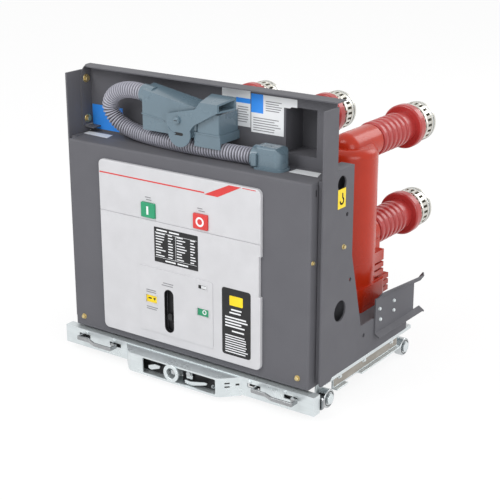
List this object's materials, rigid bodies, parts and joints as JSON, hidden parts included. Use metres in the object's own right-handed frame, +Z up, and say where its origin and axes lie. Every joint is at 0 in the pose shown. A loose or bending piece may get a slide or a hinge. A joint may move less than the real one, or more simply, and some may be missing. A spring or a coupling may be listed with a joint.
{
  "type": "vacuum circuit breaker",
  "caption": "Withdrawable indoor vacuum circuit breaker on a racking truck, with grey sheet housing, operator panel, orange resin poles, tulip contacts and a control plug.",
  "frame": {"origin": "on the floor under the middle of the breaker's box", "axes": "+X to the right seen from the operator's side, +Y towards the contacts at the rear, +Z up"},
  "size_m": [0.6796, 0.665, 0.636],
  "materials": {
    "grey_paint": "matt textured powder coat",
    "panel_plastic": "satin light grey moulding",
    "green_plastic": "satin green",
    "red_plastic": "satin red",
    "yellow_plastic": "satin yellow",
    "zinc_steel": "bright zinc plate",
    "bright_steel": "turned steel",
    "blue_grey_plastic": "satin blue grey moulding",
    "hose_plastic": "ribbed dark grey hose",
    "epoxy_orange": "glossy orange red cast resin",
    "epoxy_red": "glossy dark red sleeve",
    "silver_contact": "silver plated fingers"
  },
  "bodies": {
    "breaker": {"left_side_plate": "grey_paint", "right_side_plate": "grey_paint", "front_cover": "grey_paint", "mechanism_box": "grey_paint", "back_plate": "grey_paint", "pole_bed": "grey_paint", "left_shutter_rail": "grey_paint", "right_shutter_rail": "grey_paint", "front_panel": "panel_plastic", "charge_flag": "yellow_plastic", "state_flag": "green_plastic", "charging_socket": "zinc_steel", "truck_floor": "zinc_steel", "left_truck_rail": "zinc_steel", "right_truck_rail": "zinc_steel", "plug_body": "blue_grey_plastic", "plug_holder": "blue_grey_plastic", "plug_hose": "hose_plastic", "hose_elbow": "blue_grey_plastic", "pole_left": "epoxy_orange", "upper_sleeve_left": "epoxy_red", "upper_contact_left": "silver_contact", "lower_sleeve_left": "epoxy_red", "lower_contact_left": "silver_contact", "pole_centre": "epoxy_orange", "upper_sleeve_centre": "epoxy_red", "upper_contact_centre": "silver_contact", "lower_sleeve_centre": "epoxy_red", "lower_contact_centre": "silver_contact", "pole_right": "epoxy_orange", "upper_sleeve_right": "epoxy_red", "upper_contact_right": "silver_contact", "lower_sleeve_right": "epoxy_red", "lower_contact_right": "silver_contact"},
    "cross_beam": {"front_beam": "zinc_steel", "crank_bush": "zinc_steel"},
    "screw": {"lead_screw": "bright_steel"},
    "left_grip": {"left_handle": "zinc_steel"},
    "right_grip": {"right_handle": "zinc_steel"},
    "close_key": {"close_button": "green_plastic"},
    "open_key": {"open_button": "red_plastic"},
    "latch": {"plug_latch": "blue_grey_plastic"},
    "wheel_fl": {"front_left_wheel": "bright_steel"},
    "wheel_fr": {"front_right_wheel": "bright_steel"},
    "wheel_rl": {"rear_left_wheel": "bright_steel"},
    "wheel_rr": {"rear_right_wheel": "bright_steel"}
  },
  "joints": [
    {"name": "rack_travel", "type": "slide", "parent": "breaker", "child": "cross_beam", "axis": [0, -1, 0], "range_m": [0, 0.2]},
    {"name": "crank_turn", "type": "hinge", "parent": "cross_beam", "child": "screw", "pos_m": [0, -0.3245, 0.037], "axis": [0, -1, 0], "range_deg": [0, 7201]},
    {"name": "left_release", "type": "slide", "parent": "cross_beam", "child": "left_grip", "axis": [1, 0, 0], "range_m": [0, 0.012], "stiffness_N_per_m": 500, "springref_m": -0.02},
    {"name": "right_release", "type": "slide", "parent": "cross_beam", "child": "right_grip", "axis": [-1, 0, 0], "range_m": [0, 0.012], "stiffness_N_per_m": 500, "springref_m": -0.02},
    {"name": "close_press", "type": "slide", "parent": "breaker", "child": "close_key", "axis": [0, 1, 0], "range_m": [0, 0.005], "stiffness_N_per_m": 900, "springref_m": -0.004},
    {"name": "open_press", "type": "slide", "parent": "breaker", "child": "open_key", "axis": [0, 1, 0], "range_m": [0, 0.005], "stiffness_N_per_m": 900, "springref_m": -0.004},
    {"name": "latch_lift", "type": "hinge", "parent": "breaker", "child": "latch", "pos_m": [-0.02, -0.266, 0.565], "axis": [0, -1, 0], "range_deg": [0, 80]},
    {"name": "roll_fl", "type": "hinge", "parent": "breaker", "child": "wheel_fl", "pos_m": [-0.308, -0.2125, 0.02], "axis": [1, 0, 0], "continuous": true},
    {"name": "roll_fr", "type": "hinge", "parent": "breaker", "child": "wheel_fr", "pos_m": [0.308, -0.2125, 0.02], "axis": [1, 0, 0], "continuous": true},
    {"name": "roll_rl", "type": "hinge", "parent": "breaker", "child": "wheel_rl", "pos_m": [-0.308, 0.1085, 0.02], "axis": [1, 0, 0], "continuous": true},
    {"name": "roll_rr", "type": "hinge", "parent": "breaker", "child": "wheel_rr", "pos_m": [0.308, 0.1085, 0.02], "axis": [1, 0, 0], "continuous": true}
  ],
  "couplings": [
    {"joint": "crank_turn", "follows": "rack_travel", "rad_per_m": 628.32}
  ]
}
